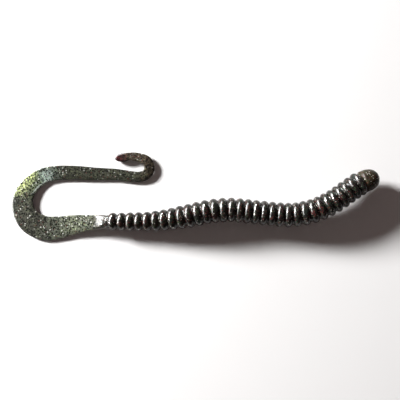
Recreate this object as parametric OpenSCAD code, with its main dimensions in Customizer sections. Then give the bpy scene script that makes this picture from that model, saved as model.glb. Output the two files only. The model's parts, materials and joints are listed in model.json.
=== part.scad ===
// Ringed soft plastic worm with a long flat ribbon tail, lying on a table.
// The worm is one flexible moulding. It is divided at its grooves and along its ribbon,
// and the short pieces turn on each other where the moulding bends.
// Millimetres, +Z up, X along the worm with the head at +X, Z = 0 on the table.

/* [Ringed body] */
// Distance from one groove to the next along the middle of the body
ring_pitch = 3.75; // [3.6:0.01:3.8]
// Outer diameter of the fully grown rings
ring_d = 10.9; // [10:0.1:11.1]
// Outer diameter of the first ring, at the tail
first_ring_d = 8; // [7.6:0.1:8.6]
// Depth of the groove between two rings, and the radius of a ring's round crest
groove_depth = 1.28; // [1.1:0.01:1.32]
// Largest bend at one groove before neighbouring rings touch, in degrees
groove_bend = 12; // [8:1:13]

/* [Head] */
// Length of the smooth head in front of the last groove
head_len = 8.3; // [8:0.1:10]
// Diameter of the head at its thickest
head_d = 9.6; // [8.8:0.1:10]

/* [Ribbon tail] */
// Thickness of the flat ribbon
ribbon_t = 1.5; // [1.2:0.1:1.8]
// Largest opening turn at one in-plane bend of the ribbon, in degrees
ribbon_open = 24; // [10:1:28]
// Largest closing turn at one in-plane bend of the ribbon, in degrees
ribbon_close = 5; // [2:1:8]

/* [Fit] */
// Gap between two neighbouring pieces at a bend
gap = 0.2; // [0.15:0.05:0.25]

/* [Hidden] */
$fn = 48;
ring_count = 32;
ribbon_count = 20;
function two_digits(n) = str(n < 10 ? "0" : "", n);

dark_body = [0.16, 0.15, 0.14];
dark_head = [0.2, 0.17, 0.13];
green_tail = [0.33, 0.37, 0.28];
maroon_tip = [0.3, 0.12, 0.14];

// Centre of the bounding box in the plan, so that it comes to the origin.
plan_centre = [0.45, -0.25];

// Route of the body's axis from the tail root to the nose: x, y, z.
body_route = [
    [-38, -11.6, 4], [-30.5, -11.6, 4.2], [-19.5, -11.5, 4.9], [-10, -10.5, 5.9],
    [-1, -8.8, 7], [8, -6.9, 7.7], [16.5, -6.2, 7.6], [25.5, -7, 7.3],
    [33.5, -7.9, 7], [41.5, -8.6, 7], [48, -8.2, 7.5], [55.5, -6.1, 8.1],
    [63, -2.3, 8.5], [69.5, 2.3, 8.3], [74.5, 5.5, 7.7], [80, 7.9, 7], [85, 9.6, 6.4]
];

// Ring spacing as a share of ring_pitch: ring number, share. The rings are closer at the head.
ring_spread = [[1, 1.045], [10, 1.03], [16, 0.965], [24, 1], [28, 0.88], [32, 0.86]];

// Ring diameters as shares of the way from first_ring_d to ring_d: ring number, share.
ring_growth = [[0, 0], [1, 0], [4, 0.15], [6, 0.4], [8, 0.7], [10, 0.95], [12, 1], [28, 1], [33, 0.93]];

// Route of the tail from the same start to its tip: x, y, z, width, and the turn about
// its own length in degrees, positive where the left edge is lower.
tail_route = [
    [-38, -11.6, 4, 6.4, 0], [-42, -11.8, 3.6, 6.3, 0], [-46.5, -12, 2.9, 7, 0],
    [-51.5, -12.6, 2, 8.2, 0], [-56, -13.4, 1.3, 9.2, 0], [-61, -14.4, 0.85, 10.4, 0],
    [-67.5, -14.8, 0.8, 11.2, 0], [-73.5, -12.4, 0.85, 11, 1], [-76.8, -8.2, 0.95, 10.4, 3],
    [-77.8, -3.2, 1, 9.8, 4], [-76.8, 1.3, 1, 9.2, 4], [-73.8, 5.6, 0.9, 8.4, 3],
    [-69, 8.9, 0.8, 7.4, 1], [-62.5, 10.5, 0.75, 6.8, 0], [-54, 10.6, 0.75, 6.5, 0],
    [-45, 10.1, 0.75, 5.9, 0], [-35.5, 9.8, 0.75, 5.3, 0], [-28.5, 8.9, 0.9, 5, -3],
    [-24, 8.8, 1.2, 4.8, -8], [-20.8, 10.3, 1.5, 4.8, -12], [-19.8, 13.3, 1.7, 4.8, -15],
    [-21.7, 16.4, 1.8, 4.6, -14], [-27.5, 18, 1.7, 3.8, -10], [-32, 17.4, 1.6, 2.8, -5],
    [-35.5, 17.2, 1.5, 1.6, 0], [-38.5, 17, 1.5, 1.6, 0]
];
root_len = 6.5;
tip_margin = 3;

// Smooth curve through a list of points, u counting points from the first one.
function through(p, u) =
    let (
        last = len(p) - 1,
        i = min(floor(u), last - 1),
        t = u - i,
        a = p[max(i - 1, 0)], b = p[i], c = p[i + 1], d = p[min(i + 2, last)]
    )
    0.5 * (2 * b + (c - a) * t + (2 * a - 5 * b + 4 * c - d) * t * t
        + (3 * b - a - 3 * c + d) * t * t * t);

function place(v) = [v[0], v[1], v[2]];

// Dense samples of a route, and its length up to each sample.
steps_per_point = 12;
function samples(p) =
    [for (i = [0 : (len(p) - 1) * steps_per_point]) through(p, i / steps_per_point)];
function lengths(q) =
    [for (i = 0, s = 0; i < len(q);
        i = i + 1, s = s + (i < len(q) ? norm(place(q[i]) - place(q[i - 1])) : 0)) s];

body_q = samples(body_route);
body_s = lengths(body_q);
tail_q = samples(tail_route);
tail_s = lengths(tail_q);
body_tables = [for (c = [0:2]) [for (i = [0 : len(body_q) - 1]) [body_s[i], body_q[i][c]]]];
tail_tables = [for (c = [0:4]) [for (i = [0 : len(tail_q) - 1]) [tail_s[i], tail_q[i][c]]]];
function along(tables, s) = [for (t = tables) lookup(s, t)];

function unit(v) = v / norm(v);

// Grooves of the body, counted from the tail root to the head.
function spacing(k) = ring_pitch * lookup(k, ring_spread);
groove_s = [for (k = 0, s = 0; k <= ring_count; k = k + 1, s = s + spacing(k)) s];
function groove(k) = along(body_tables, groove_s[k]);
function nose() = along(body_tables, groove_s[ring_count] + head_len);
// A ring's crest is as round as the groove is deep, and finer where the rings are closer.
function crest_radius(k) = groove_depth * min(1, pow(spacing(k) / ring_pitch, 1.5));
function ring_r(k) =
    (first_ring_d + (ring_d - first_ring_d) * lookup(k, ring_growth)) / 2;
function floor_r(k) = ring_r(k + 0.5) - groove_depth;

// Bends of the ribbon, counted from the tail root, each with the frame of the ribbon there.
ribbon_end = tail_s[len(tail_s) - 1] - tip_margin;
ribbon_pitch = (ribbon_end - root_len) / (ribbon_count + 1);
function bend_s(j) = root_len + j * ribbon_pitch;
function tail_point(s) = place(along(tail_tables, s));
function tail_width(s) = lookup(s, tail_tables[3]);
function tail_dir(s) = unit(tail_point(s + 0.5) - tail_point(s - 0.5));
function tail_left(s) =
    let (
        d = tail_dir(s),
        flat = unit(cross([0, 0, 1], d)),
        up = cross(d, flat),
        a = lookup(s, tail_tables[4])
    )
    flat * cos(a) - up * sin(a);
function frame_at(p, d, left) =
    let (l = unit(left - d * (left * d)), u = cross(d, l))
    [[d[0], l[0], u[0], p[0]], [d[1], l[1], u[1], p[1]], [d[2], l[2], u[2], p[2]], [0, 0, 0, 1]];
function bend_frame(j) =
    frame_at(tail_point(bend_s(j)), tail_dir(bend_s(j)), tail_left(bend_s(j)));
// Bends that turn in the ribbon's own plane; the others turn up and down.
flat_bends = [4, 5, 6, 8, 9, 10, 16, 17, 18, 20];
function is_flat(j) = len(search(j, flat_bends)) > 0;

// Flat bends up to this one curve round the ribbon's wide turn, the rest round the curl.
wide_turn_last = 13;

// Shares of the ribbon's width and thickness, and of a ball's radius.
pin_share = 0.32;
round_share = 0.46;
dome_share = 0.48;
// How square the head's outline is: 2 is an ellipse.
head_slope = 2.4;
// Small overlap that joins two shapes of one piece.
join = 0.1;

module in_place() {
    translate([-plan_centre[0], -plan_centre[1], 0]) children();
}

// Puts a child drawn along +Z from the origin onto the line from a to b.
module onto(a, b) {
    d = b - a;
    translate(a)
        rotate([0, acos(d[2] / norm(d)), atan2(d[1], d[0])])
            children();
}

// Everything on the outer side of the axis, for an outline that is turned about it.
module outer_half() {
    intersection() {
        children();
        translate([0, -ring_d]) square([ring_d, 3 * ring_d]);
    }
}

// Half outline of the ball that turns in the neighbour's cup, cut flat at its far end.
module dome_outline(r) {
    intersection() {
        circle(r);
        translate([0, -r * dome_share]) square([2 * r, r]);
    }
}

// Half outline of the cup for a ball of radius r, deep enough for its largest turn.
module cup_outline(r) {
    depth = r * sin(asin(dome_share) + groove_bend) + gap;
    intersection() {
        circle(r + gap);
        translate([0, -depth]) square([2 * r, 2 * r]);
    }
}

// A ring runs from groove k - 1 to groove k: ball at its tail side, cup at its head side.
module ring(k) {
    a = groove(k - 1);
    b = groove(k);
    pitch = norm(b - a);
    crest_r = crest_radius(k);
    middle_r = ring_r(k) - crest_r;
    color(dark_body)
        in_place()
            onto(a, b)
                rotate_extrude()
                    difference() {
                        outer_half() {
                            translate([middle_r, pitch / 2]) circle(crest_r);
                            square([min(middle_r, floor_r(k)) - join, pitch / 2 + crest_r]);
                            dome_outline(floor_r(k - 1));
                        }
                        translate([0, pitch]) cup_outline(floor_r(k));
                    }
}

// Smooth blunt head in front of the last groove, with the same ball behind it.
module head() {
    a = groove(ring_count);
    b = nose();
    neck = 1.15;
    steps = 14;
    quarter_turn = 90;
    // the head is a little thicker in front of its base
    swell = 0.03;
    outline = [for (i = [0:steps]) let (t = quarter_turn * i / steps)
        [head_d / 2 * pow(cos(t), 2 / head_slope) * (1 - swell + swell * sin(2 * t)),
            neck + (head_len - neck) * pow(sin(t), 2 / head_slope)]];
    color(dark_head)
        in_place()
            onto(a, b)
                rotate_extrude()
                    outer_half() {
                        polygon(concat([[0, neck]], outline));
                        square([floor_r(ring_count) - join, neck + join]);
                        dome_outline(floor_r(ring_count));
                    }
}

// Room that the next piece needs as it turns: a pin hole and a wedge on each side.
module turning_room(j) {
    w = tail_width(bend_s(j));
    thick = 4 * ribbon_t;
    // the ribbon's outer side is on its left at the wide turn and on its right at the curl
    outer = j <= wide_turn_last ? 1 : -1;
    multmatrix(bend_frame(j))
        if (is_flat(j)) {
            cylinder(r = w * pin_share + gap, h = thick, center = true);
            for (side = [1, -1])
                linear_extrude(thick, center = true)
                    polygon([[w, 0], [-gap, 0],
                        [-gap - w * tan(side == outer ? ribbon_open : ribbon_close), side * w],
                        [w, side * w]]);
        } else {
            rotate([90, 0, 0]) cylinder(d = 2 * round_share * ribbon_t + 2 * gap, h = 2 * w, center = true);
            translate([w - gap, 0, 0]) cube([2 * w, 2 * w, thick], center = true);
        }
}

// The round edge of a piece that turns in the piece before it.
module turning_edge(j) {
    w = tail_width(bend_s(j));
    multmatrix(bend_frame(j))
        if (is_flat(j))
            cylinder(r = w * pin_share, h = ribbon_t - join, center = true);
        else
            rotate([90, 0, 0]) cylinder(r = round_share * ribbon_t, h = w - join, center = true);
}

// Everything on the tip's side of bend j, near enough to it to matter.
module ahead_of(j) {
    reach = 60;
    multmatrix(bend_frame(j)) translate([reach / 2, 0, 0]) cube(reach, center = true);
}

// Flat plate that follows the ribbon from s_a to s_b, with its edges smooth in the plan.
module plate(s_a, s_b) {
    a = tail_point(s_a);
    b = tail_point(s_b);
    f = frame_at(a, unit(b - a), tail_left((s_a + s_b) / 2));
    x_axis = [f[0][0], f[1][0], f[2][0]];
    y_axis = [f[0][1], f[1][1], f[2][1]];
    steps = 6;
    // share of its length that the plate runs on past each end, to be cut there
    spare = 0.12;
    function edge(side) = [for (i = [0:steps]) let (
            s = s_a + (s_b - s_a) * (i / steps * (1 + 2 * spare) - spare),
            p = tail_point(s) + tail_left(s) * side * tail_width(s) / 2 - a
        ) [p * x_axis, p * y_axis]];
    left = edge(1);
    right = edge(-1);
    multmatrix(f)
        linear_extrude(ribbon_t, center = true)
            polygon(concat(left, [for (i = [steps:-1:0]) right[i]]));
}

// Piece j of the ribbon, from bend j - 1 to bend j.
module ribbon(j) {
    color(green_tail)
        in_place()
            difference() {
                union() {
                    intersection() {
                        plate(bend_s(j - 1), bend_s(j));
                        ahead_of(j - 1);
                    }
                    turning_edge(j - 1);
                }
                turning_room(j);
            }
}

// Taper from the round body to the flat ribbon, with a cup for the first ring's ball.
module tail_root() {
    a = groove(0);
    rim = 0.5;
    rim_len = 0.3;
    rim_back = 0.9;
    ribbon_share = 0.8;
    color(green_tail)
        in_place()
            difference() {
                hull() {
                    onto(a, groove(1))
                        translate([0, 0, -rim_back])
                            cylinder(r = floor_r(0) + gap + rim, h = rim_len, center = true);
                    plate(root_len * ribbon_share, root_len + rim);
                }
                onto(a, groove(1)) rotate_extrude() outer_half() cup_outline(floor_r(0));
                turning_room(0);
            }
}

// Last piece of the ribbon, with a round end.
module tail_tip() {
    bulb = 0.3;
    s_end = ribbon_end - bulb;
    color(maroon_tip)
        in_place() {
            intersection() {
                plate(bend_s(ribbon_count), s_end);
                ahead_of(ribbon_count);
            }
            turning_edge(ribbon_count);
            translate(tail_point(s_end)) sphere(d = tail_width(s_end) + bulb);
        }
}

head();
for (k = [1:ring_count])
    ring(k);
tail_root();
for (j = [1:ribbon_count])
    ribbon(j);
tail_tip();
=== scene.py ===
import json
import math

import bpy
import numpy as np
from bpy.props import FloatProperty, FloatVectorProperty, IntProperty, PointerProperty
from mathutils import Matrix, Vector


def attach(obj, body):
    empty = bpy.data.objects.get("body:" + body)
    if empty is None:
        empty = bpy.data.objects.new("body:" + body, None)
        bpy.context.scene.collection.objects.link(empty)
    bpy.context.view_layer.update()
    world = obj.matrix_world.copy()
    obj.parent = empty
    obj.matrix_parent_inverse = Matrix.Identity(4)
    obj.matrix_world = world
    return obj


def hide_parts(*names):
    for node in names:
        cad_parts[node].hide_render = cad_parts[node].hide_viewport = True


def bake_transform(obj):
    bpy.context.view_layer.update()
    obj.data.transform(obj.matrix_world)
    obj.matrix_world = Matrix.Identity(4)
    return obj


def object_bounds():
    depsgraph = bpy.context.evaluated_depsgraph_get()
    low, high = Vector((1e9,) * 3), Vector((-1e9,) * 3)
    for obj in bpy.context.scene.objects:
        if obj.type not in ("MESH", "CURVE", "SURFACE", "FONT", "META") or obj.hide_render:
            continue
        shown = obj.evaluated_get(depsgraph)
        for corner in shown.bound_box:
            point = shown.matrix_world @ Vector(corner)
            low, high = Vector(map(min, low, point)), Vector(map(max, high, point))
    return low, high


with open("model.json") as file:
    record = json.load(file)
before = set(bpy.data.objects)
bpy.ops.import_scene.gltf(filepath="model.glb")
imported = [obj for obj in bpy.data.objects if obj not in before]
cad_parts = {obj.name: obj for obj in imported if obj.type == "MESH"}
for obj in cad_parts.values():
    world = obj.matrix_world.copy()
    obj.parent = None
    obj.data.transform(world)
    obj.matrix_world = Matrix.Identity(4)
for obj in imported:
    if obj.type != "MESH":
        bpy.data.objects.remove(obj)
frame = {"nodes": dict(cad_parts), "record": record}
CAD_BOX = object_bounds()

bl_info = {
    "name": "Ringed Ribbon-Tail Worm",
    "version": (1, 0, 0),
    "blender": (4, 5, 0),
    "location": "3D View > Sidebar > Soft Worm",
    "description": "Builds a ringed soft plastic worm with a long ribbon tail "
                   "around its jointed frame",
    "category": "Add Mesh",
}

MM = 0.001

# Route of the ribbon tail from the body to its tip, in millimetres: x, y, z, width, and the turn
# about its own length in degrees (left edge lower is positive). Its first point is moved to the
# joint that carries the tail.
TAIL_ROUTE = np.array([
    [-38, -11.6, 4, 6.4, 0], [-42, -11.8, 3.6, 6.3, 0], [-46.5, -12, 2.9, 7, 0],
    [-51.5, -12.6, 2, 8.2, 0], [-56, -13.4, 1.3, 9.2, 0], [-61, -14.4, 0.85, 10.4, 0],
    [-67.5, -14.8, 0.8, 11.2, 0], [-73.5, -12.4, 0.85, 11, 1], [-76.8, -8.2, 0.95, 10.4, 3],
    [-77.8, -3.2, 1, 9.8, 4], [-76.8, 1.3, 1, 9.2, 4], [-73.8, 5.6, 0.9, 8.4, 3],
    [-69, 8.9, 0.8, 7.4, 1], [-62.5, 10.5, 0.75, 6.8, 0], [-54, 10.6, 0.75, 6.5, 0],
    [-45, 10.1, 0.75, 5.9, 0], [-35.5, 9.8, 0.75, 5.3, 0], [-28.5, 8.9, 0.9, 5, -3],
    [-24, 8.8, 1.2, 4.8, -8], [-20.8, 10.3, 1.5, 4.8, -12], [-19.8, 13.3, 1.7, 4.8, -15],
    [-21.7, 16.4, 1.8, 4.6, -14], [-27.5, 18, 1.7, 3.8, -10], [-32, 17.4, 1.6, 2.8, -5],
    [-35.5, 17.2, 1.5, 1.6, 0], [-38.5, 17, 1.5, 1.6, 0],
])
# Lengths along the tail, in millimetres.
ROOT_LEN = 6.5        # its root, up to the first bend
TIP_MARGIN = 3.0      # part of the route past the tail's end
TIP_CAP = 1.5         # rounded end of the tip
TIP_PAST = 0.15       # how far the rounded end goes past the tail's end
TIP_SWELL_START = 7.0  # how far before the end the tip starts to swell
TIP_SWELL_RUN = 4.0   # length over which it swells
TAIL_BENDS = 21
# Half width of the tail at its root, and depth of the ball in each groove, as shares of the
# groove floor's radius.
ROOT_SHARE = 0.92
BALL_SHARE = 0.46
# Radius at which a turned end is closed, and how far a lobe's foot stands above the groove floor.
PINHOLE = 0.01
FLOOR_ROOM = 0.02

# Stretches of the tail where its painted glow and painted highlights lie, as shares of its length:
# start, full from, full to, end.
PAINTED_GLOW_STRETCH = (0.362, 0.41, 0.43, 0.475)
HIGHLIGHT_SPOT_STRETCH = (0.462, 0.48, 0.49, 0.52)
INNER_EDGE_HIGHLIGHT_STRETCH = (0.39, 0.42, 0.46, 0.52)

# Colours of the flakes, and of the ribbon's painted glow and painted highlights.
MOSS = (0.055, 0.09, 0.045)
BODY_PEPPER, BODY_RUBY, BODY_SILVER = (0.003, 0.003, 0.003), (0.16, 0.03, 0.026), (0.55, 0.52, 0.46)
TAIL_PEPPER, TAIL_FINE_PEPPER = (0.006, 0.007, 0.006), (0.009, 0.009, 0.008)
TAIL_COARSE_PEPPER = (0.012, 0.014, 0.008)
TAIL_RUBY, TAIL_SILVER = (0.14, 0.025, 0.025), (0.85, 0.86, 0.78)
PAINTED_GLOW, PAINTED_HIGHLIGHT_SPOT, INNER_EDGE_HIGHLIGHT = (0.66, 0.74, 0.34), (0.36, 0.44, 0.4), (0.5, 0.56, 0.5)
# How much the pale flakes lighten the plastic round them, in red, green and blue.
PALE_GAIN = (2.0, 2.2, 1.7)

# The stage, in metres, watts and degrees. A panel's turn and rise are counted from the main lamp.
TABLE_HALF = 0.7
LAMP_DISTANCE = 0.9
MAIN_LAMP_SIZE = (0.24, 0.16)
PANEL_SIZE = (0.6, 0.3)
PANELS = ((-26, -14, 24), (4, -7, 24), (32, -4, 17))
FILL_COLOUR, FILL_STRENGTH = (1.0, 0.78, 0.74), 0.085
WALL_COLOUR = (0.93, 0.92, 0.92)
CAMERA_X, CAMERA_Y = 2.85 * MM, -1.63 * MM
SENSOR_WIDTH, LENS = 36.0, 49.0


# ---------------------------------------------------------------- places from the frame

def unit(v):
    """The direction of each vector."""
    v = np.asarray(v, float)
    return v / np.linalg.norm(v, axis=-1, keepdims=True)


def joint_place(child):
    """Where the joint that carries this body turns, in millimetres."""
    for joint in frame["record"]["behaviour"]["joints"]:
        if joint["child"] == child:
            return np.array(joint["pos_m"]) / MM
    raise RuntimeError(f"no joint carries {child}")


def ring_name(k):
    """Ring 1 is at the tail."""
    return f"ring_{k:02d}"


RING_COUNT = sum(name.startswith("ring_") for name in frame["nodes"])
GROOVES = np.array(
    [joint_place("tail_root")] + [joint_place(ring_name(k)) for k in range(1, RING_COUNT + 1)])
NOSE = next(
    np.array(mount["pos_m"]) / MM
    for mount in frame["record"]["mounts"] if mount["name"] == "hook_entry")


def node_points(name):
    """All vertices of a frame node, in millimetres."""
    mesh = frame["nodes"][name].data
    points = np.zeros(3 * len(mesh.vertices))
    mesh.vertices.foreach_get("co", points)
    return points.reshape(-1, 3) / MM


def ring_radius(k):
    """Distance of the ring node's furthest vertex from the line between its two grooves."""
    a, b = GROOVES[k - 1], GROOVES[k]
    along = unit(b - a)
    offset = node_points(ring_name(k)) - a
    return np.linalg.norm(offset - np.outer(offset @ along, along), axis=1).max()


# ---------------------------------------------------------------- curves and surfaces

def eased(x):
    """x held to 0..1 and smoothed at both ends: x^2 (3 - 2x)."""
    x = np.clip(x, 0, 1)
    return x * x * (3 - 2 * x)


def smooth_route(points, per_span=12):
    """Curve through the points: 0.5 (2b + (c-a)t + (2a-5b+4c-d)t^2 + (3b-a-3c+d)t^3)
    between b and c, with a before and d after them."""
    a, b, c, d = (
        np.vstack([points[:1], points[:-2]]), points[:-1], points[1:],
        np.vstack([points[2:], points[-1:]]))
    t = (np.arange(per_span) / per_span)[None, :, None]
    a, b, c, d = (v[:, None, :] for v in (a, b, c, d))
    curve = 0.5 * (2 * b + (c - a) * t + (2 * a - 5 * b + 4 * c - d) * t ** 2
                   + (3 * b - a - 3 * c + d) * t ** 3)
    return np.vstack([curve.reshape(-1, points.shape[1]), points[-1:]])


class TailLine:
    """The ribbon's middle line, with its width and its two cross directions at any length s."""

    def __init__(self):
        route = TAIL_ROUTE.copy()
        route[:, :3] += joint_place("tail_root") - route[0, :3]
        self.samples = smooth_route(route)
        steps = np.linalg.norm(np.diff(self.samples[:, :3], axis=0), axis=1)
        self.lengths = np.concatenate([[0], np.cumsum(steps)])
        self.end = self.lengths[-1] - TIP_MARGIN
        self.pitch = (self.end - ROOT_LEN) / TAIL_BENDS

    def bend(self, j):
        """Length at which bend j turns."""
        return ROOT_LEN + j * self.pitch

    def value(self, s, column):
        """One column of the route at each s."""
        return np.interp(s, self.lengths, self.samples[:, column])

    def point(self, s):
        """Middle point at each s."""
        return np.stack([self.value(s, c) for c in range(3)], axis=-1)

    def frames(self, s, reach=0.8):
        """Middle point, forward, left and up at each s; left is the level side direction
        turned about forward by the route's angle a: left = flat cos a - up sin a."""
        forward = unit(self.point(s + reach) - self.point(s - reach))
        flat = unit(np.cross([0, 0, 1.0], forward))
        up = np.cross(forward, flat)
        a = np.radians(self.value(s, 4))[:, None]
        left = flat * np.cos(a) - up * np.sin(a)
        return self.point(s), forward, left, np.cross(forward, left)


def grid_surface(name, rows, attributes=None):
    """A closed skin over rows of points (row, column, xyz in millimetres). Each row is a loop;
    the first and last rows are closed by fans to their mean points. attributes maps a name to
    one number per grid point, and the mean of the row stands for each fan's middle point."""
    count, around, _ = rows.shape
    points = np.vstack([rows.reshape(-1, 3), rows[0].mean(0), rows[-1].mean(0)])
    start, end = count * around, count * around + 1
    i = np.arange(count - 1)[:, None] * around
    j = np.arange(around)[None, :]
    k = (j + 1) % around
    quads = np.stack([i + j, i + k, i + around + k, i + around + j], axis=-1).reshape(-1, 4)
    first = np.stack([k[0], j[0], np.full(around, start)], axis=-1)
    base = (count - 1) * around
    last = np.stack([base + j[0], base + k[0], np.full(around, end)], axis=-1)
    mesh = bpy.data.meshes.new(name)
    mesh.from_pydata((points * MM).tolist(), [], quads.tolist() + first.tolist() + last.tolist())
    mesh.polygons.foreach_set("use_smooth", np.ones(len(mesh.polygons), bool))
    place = mesh.attributes.new("place_mm", "FLOAT_VECTOR", "POINT")
    place.data.foreach_set("vector", points.astype(np.float32).ravel())
    for key, values in (attributes or {}).items():
        values = np.broadcast_to(values, rows.shape[:2])
        full = np.concatenate([values.ravel(), [values[0].mean(), values[-1].mean()]])
        attribute = mesh.attributes.new(key, "FLOAT", "POINT")
        attribute.data.foreach_set("value", full.astype(np.float32))
    mesh.update()
    obj = bpy.data.objects.new(name, mesh)
    bpy.context.scene.collection.objects.link(obj)
    return obj


def crease_ends(obj, around):
    """Marks the edges round the two end fans as sharp, so the sides shade smoothly up to them."""
    mesh = obj.data
    edges = np.zeros(2 * len(mesh.edges), np.int32)
    mesh.edges.foreach_get("vertices", edges)
    edges = edges.reshape(-1, 2)
    last = len(mesh.vertices) - 2
    first_loop = (edges < around).all(axis=1)
    last_loop = ((edges >= last - around) & (edges < last)).all(axis=1)
    sharp = (mesh.attributes.get("sharp_edge")
             or mesh.attributes.new("sharp_edge", "BOOLEAN", "EDGE"))
    sharp.data.foreach_set("value", first_loop | last_loop)


def turned(name, start, end, radii, heights, around, wobble=None):
    """A profile of radii r at heights h turned about the line from start to end:
    p = start + h forward + r (1 + wobble(v)) (cos v side + sin v up), v from 0 to 2 pi."""
    forward = unit(end - start)
    side = unit(np.cross([0, 0, 1.0], forward))
    up = np.cross(forward, side)
    v = np.linspace(0, 2 * math.pi, around, endpoint=False)
    circle = np.cos(v)[:, None] * side + np.sin(v)[:, None] * up
    r = radii[:, None] * (1 + (0 if wobble is None else wobble(v)))
    rows = start + heights[:, None, None] * forward + r[:, :, None] * circle[None]
    return grid_surface(name, rows)


# ---------------------------------------------------------------- materials

def put(tree, kind, inputs=None, **settings):
    """Adds a node; inputs maps a socket's name or number to a value or to another node's output."""
    node = tree.nodes.new(kind)
    for key, value in settings.items():
        setattr(node, key, value)
    for key, value in (inputs or {}).items():
        if isinstance(value, bpy.types.NodeSocket):
            tree.links.new(value, node.inputs[key])
        else:
            node.inputs[key].default_value = value
    return node


def rgba(colour):
    """A colour with full opacity."""
    return (*colour, 1.0)


def mixed(tree, factor, a, b):
    """Colour a turning into colour b with the factor."""
    a, b = (c if isinstance(c, bpy.types.NodeSocket) else rgba(c) for c in (a, b))
    return put(tree, "ShaderNodeMix", {0: factor, 6: a, 7: b}, data_type="RGBA").outputs[2]


def stepped(tree, value, low, high, to_low=0.0, to_high=1.0):
    """The value brought from low..high to to_low..to_high and held there beyond."""
    return put(tree, "ShaderNodeMapRange", {
        "Value": value, "From Min": low, "From Max": high, "To Min": to_low, "To Max": to_high,
    }).outputs[0]


def times(tree, a, b):
    """a times b."""
    return put(tree, "ShaderNodeMath", {0: a, 1: b}, operation="MULTIPLY").outputs[0]


def within(tree, along, stretch):
    """1 in the middle of a stretch of the tail, fading to 0 at its two ends."""
    start, full_from, full_to, end = stretch
    return times(tree, stepped(tree, along, start, full_from), stepped(tree, along, end, full_to))


def flakes(tree, place, per_mm, size, share):
    """A mask of scattered angular flakes: Voronoi cells of per_mm cells a millimetre, each flake
    size cells wide, in the given share of the cells. The flakes of each size lie at their own angle
    and their outlines are a little uneven."""
    turns, unevenness = (1.3, 2.9, 4.7), 0.3
    turned_place = put(tree, "ShaderNodeVectorRotate", {
        "Vector": place, "Rotation": tuple(per_mm * turn for turn in turns)},
        rotation_type="EULER_XYZ").outputs[0]
    uneven = put(tree, "ShaderNodeTexNoise", {"Vector": place, "Scale": 2.3, "Detail": 1.0})
    moved = put(tree, "ShaderNodeVectorMath", {
        0: uneven.outputs["Color"], 1: (unevenness,) * 3, 2: turned_place},
        operation="MULTIPLY_ADD")
    cells = put(tree, "ShaderNodeTexVoronoi", {
        "Vector": moved.outputs[0], "Scale": per_mm, "Randomness": 1.0}, distance="CHEBYCHEV")
    chance = put(tree, "ShaderNodeSeparateColor", {0: cells.outputs["Color"]}).outputs[0]
    near = stepped(tree, cells.outputs["Distance"], size, size * 0.75)
    present = stepped(tree, chance, share + 0.02, share - 0.02)
    return times(tree, near, present)


def sprinkled(tree, colour, flake_mask, strength, flake_colour):
    """The plastic's colour with flakes in it; at strength 1 they hide it fully."""
    return mixed(tree, times(tree, flake_mask, strength), colour, flake_colour)


def noise(tree, place, per_mm, detail, rough):
    """Soft clouds of about per_mm a millimetre, from 0 to 1."""
    return put(tree, "ShaderNodeTexNoise", {
        "Vector": place, "Scale": per_mm, "Detail": detail, "Roughness": rough}).outputs["Fac"]


def new_material(name):
    """An empty material and its node tree."""
    material = bpy.data.materials.new(name)
    material.use_nodes = True
    material.node_tree.nodes.clear()
    return material, material.node_tree


def finish_plastic(tree, place, colour, metal, bump_strength, roughness, specular, subsurface=0.0):
    """The moulded plastic's own surface: colour, small bumps 0.2 mm high at full strength, and a
    gloss that changes with them between the two values of roughness."""
    grit = noise(tree, place, 1.1, 3.0, 0.6)
    bump = put(tree, "ShaderNodeBump", {
        "Height": grit, "Strength": bump_strength, "Distance": 0.2 * MM})
    shader = put(tree, "ShaderNodeBsdfPrincipled", {
        "Base Color": colour, "Normal": bump.outputs[0], "IOR": 1.45, "Metallic": metal,
        "Roughness": stepped(tree, grit, 0.3, 0.7, *roughness), "Specular IOR Level": specular,
        "Subsurface Weight": subsurface, "Subsurface Radius": (1.0, 1.0, 0.7),
        "Subsurface Scale": 1.0 * MM})
    put(tree, "ShaderNodeOutputMaterial", {"Surface": shader.outputs[0]})


def ringed_plastic(name, dark, green, red, silver_share, roughness, specular):
    """Near black plastisol, clouded with green and maroon, with fine coloured flakes in it."""
    material, tree = new_material(name)
    place = put(tree, "ShaderNodeAttribute", attribute_name="place_mm").outputs["Vector"]
    cloud = noise(tree, place, 0.28, 4.0, 0.6)
    warm = noise(tree, place, 0.35, 3.0, 0.6)
    colour = mixed(tree, stepped(tree, cloud, 0.5, 0.64), dark, green)
    colour = mixed(tree, stepped(tree, warm, 0.56, 0.68, 0.0, 0.8), colour, red)
    colour = sprinkled(tree, colour, flakes(tree, place, 1.5, 0.42, 0.6), 0.75, BODY_PEPPER)
    colour = sprinkled(tree, colour, flakes(tree, place, 1.9, 0.36, 0.28), 0.65, MOSS)
    colour = sprinkled(tree, colour, flakes(tree, place, 1.7, 0.34, 0.2), 0.6, BODY_RUBY)
    silver = flakes(tree, place, 1.3, 0.28, silver_share)
    colour = mixed(tree, silver, colour, BODY_SILVER)
    finish_plastic(tree, place, colour, times(tree, silver, 0.6), 0.25, roughness, specular)
    return material


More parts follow.
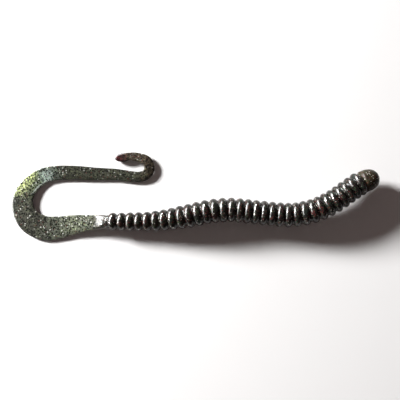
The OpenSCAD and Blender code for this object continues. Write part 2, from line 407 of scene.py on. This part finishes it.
def ribbon_plastic(name, tints):
    """Clear olive plastisol packed with black pepper, with painted glow and painted highlights in
    its colour.
    The tint runs along the tail, from tints: (share of the length, colour). along is the share of
    the tail's length, and across runs from -1 on the right edge to 1 on the left."""
    material, tree = new_material(name)
    place = put(tree, "ShaderNodeAttribute", attribute_name="place_mm").outputs["Vector"]
    along = put(tree, "ShaderNodeAttribute", attribute_name="along").outputs["Fac"]
    across = put(tree, "ShaderNodeAttribute", attribute_name="across").outputs["Fac"]
    ramp = put(tree, "ShaderNodeValToRGB", {0: along})
    stops = ramp.color_ramp.elements
    while len(stops) < len(tints):
        stops.new(0.5)
    for stop, (share, tint) in zip(stops, tints):
        stop.position, stop.color = share, rgba(tint)
    colour = ramp.outputs[0]
    cloud = noise(tree, place, 0.35, 3.0, 0.6)
    # painted glow: the outside of the second turn is painted bright, as the light that comes
    # through the plastic there
    painted_glow = times(tree, within(tree, along, PAINTED_GLOW_STRETCH), stepped(tree, across, -0.4, 0.6))
    painted_glow = stepped(tree, times(tree, painted_glow, stepped(tree, cloud, 0.3, 0.6, 0.55, 1.2)), 0.1, 0.8)
    colour = mixed(tree, painted_glow, colour, PAINTED_GLOW)
    # painted highlights: a pale spot just past it, and a pale line along the inner edge
    highlight_spot = times(tree, within(tree, along, HIGHLIGHT_SPOT_STRETCH), stepped(tree, across, 0.75, 0.1))
    colour = mixed(tree, times(tree, highlight_spot, 0.8), colour, PAINTED_HIGHLIGHT_SPOT)
    # painted highlight along the inner edge
    edge = times(
        tree, within(tree, along, INNER_EDGE_HIGHLIGHT_STRETCH), stepped(tree, across, -0.7, -0.8))
    colour = mixed(tree, times(tree, edge, 0.8), colour, INNER_EDGE_HIGHLIGHT)
    lighter = put(
        tree, "ShaderNodeVectorMath", {0: colour, 1: PALE_GAIN}, operation="MULTIPLY").outputs[0]
    colour = sprinkled(tree, colour, flakes(tree, place, 1.3, 0.4, 0.3), 0.7, lighter)
    cover = stepped(tree, cloud, 0.35, 0.6, 0.75, 0.97)
    colour = sprinkled(tree, colour, flakes(tree, place, 1.25, 0.5, 0.7), cover, TAIL_PEPPER)
    colour = sprinkled(tree, colour, flakes(tree, place, 2.1, 0.44, 0.5), 0.85, TAIL_FINE_PEPPER)
    colour = sprinkled(
        tree, colour, flakes(tree, place, 0.95, 0.5, 0.55), painted_glow, TAIL_COARSE_PEPPER)
    colour = sprinkled(tree, colour, flakes(tree, place, 1.4, 0.34, 0.08), 0.6, TAIL_RUBY)
    silver = times(
        tree, flakes(tree, place, 1.15, 0.3, 0.17), stepped(tree, along, 0.46, 0.58, 1.0, 0.4))
    colour = mixed(tree, silver, colour, TAIL_SILVER)
    finish_plastic(
        tree, place, colour, times(tree, silver, 0.3), 0.3, (0.14, 0.28), 0.4, subsurface=0.15)
    return material


def paper_surface(name, colour):
    """Matt pale table top with a very faint grain, here of 40 clouds a metre."""
    material, tree = new_material(name)
    place = put(tree, "ShaderNodeTexCoord").outputs["Object"]
    grain = noise(tree, place, 40.0, 2.0, 0.5)
    tone = mixed(tree, grain, colour, tuple(0.985 * c for c in colour))
    shader = put(tree, "ShaderNodeBsdfPrincipled", {
        "Base Color": tone, "Roughness": 0.9, "Specular IOR Level": 0.1})
    put(tree, "ShaderNodeOutputMaterial", {"Surface": shader.outputs[0]})
    return material


# ---------------------------------------------------------------- sizes and colours

class WormBodyProps(bpy.types.PropertyGroup):
    """Sizes and colours of the rings and the head."""
    groove_gap: FloatProperty(
        name="Groove Gap", description="Gap between two rings at the floor of their groove",
        default=0.4 * MM, min=0.2 * MM, max=1.0 * MM, subtype="DISTANCE", unit="LENGTH")
    groove_depth: FloatProperty(
        name="Groove Depth", description="Depth of the groove between two rings",
        default=1.08 * MM, min=0.8 * MM, max=1.5 * MM, subtype="DISTANCE", unit="LENGTH")
    around: IntProperty(
        name="Faces Around", description="Faces round each ring", default=64, min=24, max=96)
    head_diameter: FloatProperty(
        name="Head Diameter", description="Diameter of the head at its thickest",
        default=10.1 * MM, min=8 * MM, max=10.6 * MM, subtype="DISTANCE", unit="LENGTH")
    dark: FloatVectorProperty(
        name="Dark", description="Colour of the body plastic", size=3, subtype="COLOR",
        default=(0.013, 0.0105, 0.0095), min=0.0, max=1.0)
    green: FloatVectorProperty(
        name="Green", description="Green clouds in the body plastic", size=3, subtype="COLOR",
        default=(0.016, 0.022, 0.018), min=0.0, max=1.0)
    maroon: FloatVectorProperty(
        name="Maroon", description="Maroon clouds in the body plastic", size=3, subtype="COLOR",
        default=(0.048, 0.017, 0.016), min=0.0, max=1.0)
    head_dark: FloatVectorProperty(
        name="Head Dark", description="Colour of the head plastic", size=3, subtype="COLOR",
        default=(0.03, 0.021, 0.014), min=0.0, max=1.0)
    head_olive: FloatVectorProperty(
        name="Head Olive", description="Olive clouds in the head plastic", size=3,
        subtype="COLOR", default=(0.04, 0.036, 0.018), min=0.0, max=1.0)
    head_brown: FloatVectorProperty(
        name="Head Brown", description="Brown clouds in the head plastic", size=3,
        subtype="COLOR", default=(0.075, 0.035, 0.024), min=0.0, max=1.0)


class WormTailProps(bpy.types.PropertyGroup):
    """Sizes and colours of the ribbon tail."""
    thickness: FloatProperty(
        name="Ribbon Thickness", description="Thickness of the flat ribbon",
        default=1.5 * MM, min=1.0 * MM, max=1.8 * MM, subtype="DISTANCE", unit="LENGTH")
    around: IntProperty(
        name="Faces Around", description="Faces round the ribbon's section",
        default=48, min=24, max=96)
    step: FloatProperty(
        name="Row Spacing", description="Distance between two rows of faces along the ribbon",
        default=0.35 * MM, min=0.2 * MM, max=1.0 * MM, subtype="DISTANCE", unit="LENGTH")
    root_tint: FloatVectorProperty(
        name="Root Tint", description="Plastic where the tail leaves the body", size=3,
        subtype="COLOR", default=(0.085, 0.075, 0.06), min=0.0, max=1.0)
    light_tint: FloatVectorProperty(
        name="Light Tint", description="Plastic where the ribbon is palest", size=3,
        subtype="COLOR", default=(0.17, 0.185, 0.13), min=0.0, max=1.0)
    olive_tint: FloatVectorProperty(
        name="Olive Tint", description="Plastic of the folded back strand", size=3,
        subtype="COLOR", default=(0.053, 0.055, 0.04), min=0.0, max=1.0)
    tip_tint: FloatVectorProperty(
        name="Tip Tint", description="Plastic at the tip", size=3,
        subtype="COLOR", default=(0.06, 0.016, 0.02), min=0.0, max=1.0)


class WormStageProps(bpy.types.PropertyGroup):
    """Table, light and camera."""
    table: FloatVectorProperty(
        name="Table", description="Colour of the table top", size=3, subtype="COLOR",
        default=(0.9, 0.895, 0.89), min=0.0, max=1.0)
    camera_height: FloatProperty(
        name="Camera Height", description="Height of the camera above the table",
        default=0.250, min=0.1, max=1.0, subtype="DISTANCE", unit="LENGTH")
    lamp_rise: FloatProperty(
        name="Lamp Elevation", description="Angle of the main lamp above the table",
        default=math.radians(22.4), min=0.1, max=1.5, subtype="ANGLE", unit="ROTATION")
    lamp_turn: FloatProperty(
        name="Lamp Direction", description="Direction the main lamp stands in, from +X toward +Y",
        default=math.radians(150), min=0.0, max=6.3, subtype="ANGLE", unit="ROTATION")
    lamp_power: FloatProperty(
        name="Lamp Power", description="Power of the main lamp",
        default=25.6, min=0.0, max=1000.0, unit="POWER")


# ---------------------------------------------------------------- operators

class WORM_OT_rings(bpy.types.Operator):
    """Builds the rings of the body, each with the ball that turns in its neighbour"""
    bl_idname = "worm.rings"
    bl_label = "Rings"

    def execute(self, context):
        props = context.scene.worm_body
        material = ringed_plastic(
            "body_plastisol", props.dark, props.green, props.maroon,
            silver_share=0.15, roughness=(0.14, 0.24), specular=0.35)
        gap, depth = props.groove_gap / MM, props.groove_depth / MM
        radii = np.array([ring_radius(k) for k in range(1, RING_COUNT + 1)])
        # radius of the groove floors; the first and last have a ring on one side only
        between = 0.5 * (radii[:-1] + radii[1:])
        floors = np.concatenate([radii[:1], between, radii[-1:]]) - depth
        for k in range(1, RING_COUNT + 1):
            a, b = GROOVES[k - 1], GROOVES[k]
            pitch = np.linalg.norm(b - a)
            r, z = ring_profile(radii[k - 1], floors[k - 1], floors[k], pitch, gap)
            obj = turned(f"{ring_name(k)}_skin", a, b, r, z, props.around, ring_wobble(k))
            obj.data.materials.append(material)
            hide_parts(ring_name(k))
            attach(obj, ring_name(k))
        return {"FINISHED"}


def ball(floor):
    """Back of the ball that sits in a groove, as (radius, height): r = sqrt(f^2 - h^2), with h
    from a share of the floor radius f behind its middle up to it. It starts closed."""
    h = np.linspace(-BALL_SHARE, 0.0, 6) * floor
    r = np.sqrt(floor ** 2 - h ** 2)
    return np.concatenate([[PINHOLE], r]), np.concatenate([h[:1], h])


def ring_profile(radius, back_floor, front_floor, pitch, gap):
    """Half outline of one ring from its back ball to its front floor, as (radius, height): the
    ball, then a lobe r = f + (R - f) sin(pi t)^p with t from 0 to 1 along it, where f goes evenly
    from the back floor to the front one, and last the front floor, which a shallow dish closes."""
    lobe_power = 0.66
    ball_r, ball_h = ball(back_floor)
    t = 0.5 - 0.5 * np.cos(np.linspace(0, math.pi, 33))
    floor = back_floor + (front_floor - back_floor) * t + FLOOR_ROOM
    lobe_r = floor + (radius - floor) * np.sin(math.pi * t) ** lobe_power
    lobe_h = gap / 2 + (pitch - gap) * t
    end_r = [front_floor + FLOOR_ROOM, front_floor - 0.03, front_floor * 0.6, PINHOLE]
    end_h = [pitch - 0.04, pitch - 0.02, pitch - 0.05, pitch - 0.05]
    return np.concatenate([ball_r, lobe_r, end_r]), np.concatenate([ball_h, lobe_h, end_h])


def ring_wobble(k):
    """Slight unevenness of a poured ring, as a share of its radius at the angle v round it:
    0.006 sin(2v + q) + 0.004 sin(3v - 1.7q), where the phase q is 2.4 times the ring's number."""
    phase = k * 2.4

    def wobble(v):
        return 0.006 * np.sin(2 * v + phase) + 0.004 * np.sin(3 * v - 1.7 * phase)
    return wobble


class WORM_OT_head(bpy.types.Operator):
    """Builds the smooth blunt head"""
    bl_idname = "worm.head"
    bl_label = "Head"

    def execute(self, context):
        props = context.scene.worm_body
        material = ringed_plastic(
            "head_plastisol", props.head_dark, props.head_olive, props.head_brown,
            silver_share=0.28, roughness=(0.3, 0.42), specular=0.15)
        base = GROOVES[-1]
        floor = ring_radius(RING_COUNT) - props.groove_depth / MM
        radii, heights = head_profile(
            floor, props.head_diameter / MM / 2, np.linalg.norm(NOSE - base))
        obj = turned("head_skin", base, NOSE, radii, heights, props.around)
        obj.data.materials.append(material)
        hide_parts("head")
        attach(obj, "head")
        return {"FINISHED"}


def head_profile(floor, radius, length):
    """Half outline of the head, as (radius, height): its ball, a neck that widens from the groove
    floor, and a dome from the neck's height n to the nose at L,
    r = R cos(t)^p (0.97 + 0.03 sin 2t) and h = n + (L - n) sin(t)^p, with t from 0 to pi/2."""
    neck, dome_power = 0.85, 2 / 2.4
    ball_r, ball_h = ball(floor)
    neck_r, neck_h = [floor + FLOOR_ROOM, floor + 0.25], [0.4, 0.6]
    t = np.linspace(0, math.pi / 2, 30)
    dome_r = radius * np.cos(t) ** dome_power * (0.97 + 0.03 * np.sin(2 * t))
    dome_h = neck + (length - neck) * np.sin(t) ** dome_power
    dome_r[-1] = PINHOLE
    return np.concatenate([ball_r, neck_r, dome_r]), np.concatenate([ball_h, neck_h, dome_h])


def ribbon_rows(line, s, thickness, around, section):
    """Rows of the ribbon's section along s, and how far across it each point is:
    p = middle + x left + y up, with x = w/2 sgn(cos v) |cos v|^(2/n) and
    y = t/2 sgn(sin v) |sin v|^(2/n), where n is the squareness."""
    middle, _, left, up = line.frames(s)
    v = np.linspace(0, 2 * math.pi, around, endpoint=False)
    half_w, half_t, squareness = section(s, thickness)
    e = (2 / squareness)[:, None]
    x = np.sign(np.cos(v)) * np.abs(np.cos(v)) ** e
    y = np.sign(np.sin(v)) * np.abs(np.sin(v)) ** e
    rows = (middle[:, None] + left[:, None] * (x * half_w[:, None])[..., None]
            + up[:, None] * (y * half_t[:, None])[..., None])
    return rows, x


def tail_bodies(j):
    """The bodies on the two sides of bend j."""
    before = "tail_root" if j == 0 else f"ribbon_{j:02d}"
    after = "tail_tip" if j == TAIL_BENDS - 1 else f"ribbon_{j + 1:02d}"
    return before, after


def tail_section(line, floor):
    """Half width, half thickness and squareness of the tail at s. It starts round, a little under
    the body's groove floor: half width = a + (w/2 - a) eased(s / 3 mm) and half thickness =
    a + (t/2 - a) f, with f = eased(s / (1.1 root length)). Toward the tip a share g rises from 0
    to 1, which widens it by 0.5 g and thickens it by 0.4 g. Its end is rounded off by
    sqrt(1 - (1 - q)^2), with q the share left of the cap. The squareness is 2 + 1.2 f - 0.9 g."""
    start = floor * ROOT_SHARE
    widening_len, flattening_len = 3.0, ROOT_LEN * 1.1

    def section(s, thickness):
        flat = eased(s / flattening_len)
        half_w = start + (line.value(s, 3) / 2 - start) * eased(s / widening_len)
        half_t = start + (thickness / 2 - start) * flat
        left_over = np.clip((line.end + TIP_PAST - s) / TIP_CAP, 0, 1)
        cap = np.sqrt(np.clip(1 - (1 - left_over) ** 2, 0.0005, 1))
        tip = np.clip((s - line.end + TIP_SWELL_START) / TIP_SWELL_RUN, 0, 1)
        return (half_w * (1 + 0.5 * tip) * cap, half_t * (1 + 0.4 * tip) * cap,
                2 + 1.2 * flat - 0.9 * tip)
    return section


class WORM_OT_tail(bpy.types.Operator):
    """Builds the ribbon tail in stretches that stay where they are built, and its end, which the
    tip carries
    """
    bl_idname = "worm.tail"
    bl_label = "Ribbon Tail"

    def execute(self, context):
        props = context.scene.worm_tail
        line = TailLine()
        material = ribbon_plastic("tail_plastisol", tail_tints(props))
        floor = ring_radius(1) - context.scene.worm_body.groove_depth / MM
        section = tail_section(line, floor)
        bends = np.array([line.bend(j) for j in range(-1, TAIL_BENDS + 1)])
        # the stretches meet midway between the bends, and in the middle of the root and the tip
        joins = 0.5 * (bends[:-1] + bends[1:])
        joins[0], joins[-1] = ROOT_LEN * 0.45, line.end - 2.2
        for j in range(TAIL_BENDS):
            s_start, s_end = (joins[j] if j else 0.0), joins[j + 1]
            row_count = int(math.ceil((s_end - s_start) / (props.step / MM))) + 1
            s = np.linspace(s_start, s_end, row_count)
            obj, rows = tail_skin(f"tail_stretch_{j + 1:02d}", line, s, props, section, material)
            before, after = tail_bodies(j)
            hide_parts(before)
            start, end = turning_zone(line, rows, joins[j], s_end)
            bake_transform(obj)
        tip_row_gap, cap_rows = 0.3, 16
        s = np.concatenate([
            np.arange(joins[-1], line.end - TIP_CAP, tip_row_gap),
            line.end + TIP_PAST - TIP_CAP * np.cos(np.linspace(0, math.pi / 2, cap_rows))])
        obj, _ = tail_skin("tail_end", line, s, props, section, material)
        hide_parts("tail_tip")
        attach(obj, "tail_tip")
        return {"FINISHED"}


def tail_tints(props):
    """The ribbon's colours from the root to the tip: (share of the tail's length, colour)."""
    return [
        (0.0, props.root_tint), (0.03, props.root_tint), (0.075, (0.15, 0.165, 0.125)),
        (0.13, props.light_tint), (0.19, (0.11, 0.12, 0.093)), (0.25, (0.072, 0.073, 0.058)),
        # The lighter stops from 0.42 to 0.5 are painted glow and a painted highlight in the
        # plastic's colour.
        (0.36, (0.082, 0.085, 0.066)), (0.42, (0.12, 0.14, 0.085)), (0.47, (0.13, 0.16, 0.12)),
        (0.5, (0.11, 0.13, 0.108)), (0.56, props.olive_tint), (0.8, props.olive_tint),
        (0.87, (0.09, 0.072, 0.05)), (0.95, (0.07, 0.055, 0.04)), (0.985, props.tip_tint),
    ]


def tail_skin(name, line, s, props, section, material):
    """The skin of one stretch of the tail and its rows."""
    rows, across = ribbon_rows(line, s, props.thickness / MM, props.around, section)
    obj = grid_surface(name, rows, {"along": (s / line.end)[:, None], "across": across})
    crease_ends(obj, props.around)
    obj.data.materials.append(material)
    return obj, rows


def turning_zone(line, rows, s_start, s_end):
    """Start and end points of the zone at a bend, on the straight line between the middle
    points at s_start and s_end. They are drawn in along it until every point of the stretch's
    end sections lies outside them. The first stretch reaches back past s_start to the body, so
    its zone starts at s_start itself."""
    room = 0.02
    first, last = line.point(np.array([s_start, s_end]))
    along = unit(last - first)
    low = ((rows[0] - first) @ along).max() if s_start > ROOT_LEN else 0.0
    high = ((rows[-1] - first) @ along).min()
    return first + along * (low + room), first + along * (high - room)


class WORM_OT_stage(bpy.types.Operator):
    """Sets the table, the lights and the camera"""
    bl_idname = "worm.stage"
    bl_label = "Table, Light and Camera"

    def execute(self, context):
        props = context.scene.worm_stage
        half, level = TABLE_HALF, CAD_BOX[0].z
        corners = [(-half, -half, level), (half, -half, level),
                   (half, half, level), (-half, half, level)]
        mesh = bpy.data.meshes.new("table_top")
        mesh.from_pydata(corners, [], [(0, 1, 2, 3)])
        table = bpy.data.objects.new("table_top", mesh)
        mesh.materials.append(paper_surface("table_paper", tuple(props.table)))
        context.scene.collection.objects.link(table)

        context.scene.world = self.studio_world()
        context.scene.view_settings.view_transform = "Standard"

        self.lamp("main_lamp", props.lamp_turn, props.lamp_rise, MAIN_LAMP_SIZE, props.lamp_power)
        # three pale panels beside it, seen only in the plastic's gloss
        for n, (turn, rise, power) in enumerate(PANELS, 1):
            self.lamp(f"gloss_panel_{n}", props.lamp_turn + math.radians(turn),
                      props.lamp_rise + math.radians(rise), PANEL_SIZE, power, gloss_only=True)

        data = bpy.data.cameras.new("camera")
        data.sensor_width, data.lens = SENSOR_WIDTH, LENS
        data.clip_start, data.clip_end = 0.01, 20.0
        camera = bpy.data.objects.new("camera", data)
        camera.location = (CAMERA_X, CAMERA_Y, props.camera_height)
        context.scene.collection.objects.link(camera)
        context.scene.camera = camera
        return {"FINISHED"}

    def studio_world(self):
        """A faint warm fill light, and a pale wall that only the camera sees."""
        world = bpy.data.worlds.new("studio_world")
        world.use_nodes = True
        tree = world.node_tree
        tree.nodes.clear()
        fill = put(tree, "ShaderNodeBackground", {
            "Color": rgba(FILL_COLOUR), "Strength": FILL_STRENGTH})
        wall = put(tree, "ShaderNodeBackground", {"Color": rgba(WALL_COLOUR), "Strength": 1.0})
        seen = put(tree, "ShaderNodeLightPath").outputs["Is Camera Ray"]
        both = put(tree, "ShaderNodeMixShader", {0: seen, 1: fill.outputs[0], 2: wall.outputs[0]})
        put(tree, "ShaderNodeOutputWorld", {"Surface": both.outputs[0]})
        return world

    def lamp(self, name, turn, rise, size, power, gloss_only=False):
        """A flat rectangular lamp facing the worm: its place is the lamp distance times
        (cos turn cos rise, sin turn cos rise, sin rise)."""
        place = LAMP_DISTANCE * Vector(
            (math.cos(turn) * math.cos(rise), math.sin(turn) * math.cos(rise), math.sin(rise)))
        data = bpy.data.lights.new(name, "AREA")
        data.shape, data.size, data.size_y, data.energy = "RECTANGLE", size[0], size[1], power
        lamp = bpy.data.objects.new(name, data)
        lamp.location = place
        lamp.rotation_euler = (-place).to_track_quat("-Z", "Y").to_euler()
        lamp.visible_diffuse = not gloss_only
        bpy.context.scene.collection.objects.link(lamp)


class WORM_PT_panel(bpy.types.Panel):
    """The worm's pieces, sizes and colours"""
    bl_label = "Soft Worm"
    bl_idname = "WORM_PT_panel"
    bl_space_type = "VIEW_3D"
    bl_region_type = "UI"
    bl_category = "Soft Worm"

    def draw(self, context):
        for props, operators in (
                (context.scene.worm_body, (WORM_OT_rings, WORM_OT_head)),
                (context.scene.worm_tail, (WORM_OT_tail,)),
                (context.scene.worm_stage, (WORM_OT_stage,))):
            box = self.layout.box()
            for key in props.__annotations__:
                box.prop(props, key)
            for operator in operators:
                box.operator(operator.bl_idname)


GROUPS = {"worm_body": WormBodyProps, "worm_tail": WormTailProps, "worm_stage": WormStageProps}
OPERATORS = (WORM_OT_rings, WORM_OT_head, WORM_OT_tail, WORM_OT_stage)


def register():
    for cls in (*GROUPS.values(), *OPERATORS, WORM_PT_panel):
        bpy.utils.register_class(cls)
    for key, cls in GROUPS.items():
        setattr(bpy.types.Scene, key, PointerProperty(type=cls))


def unregister():
    for key in GROUPS:
        delattr(bpy.types.Scene, key)
    for cls in (WORM_PT_panel, *reversed(OPERATORS), *reversed(list(GROUPS.values()))):
        bpy.utils.unregister_class(cls)


def main():
    """Builds the worm and the stage."""
    register()
    bpy.ops.worm.rings()
    bpy.ops.worm.head()
    bpy.ops.worm.tail()
    bpy.ops.worm.stage()


if __name__ == "__main__":
    main()
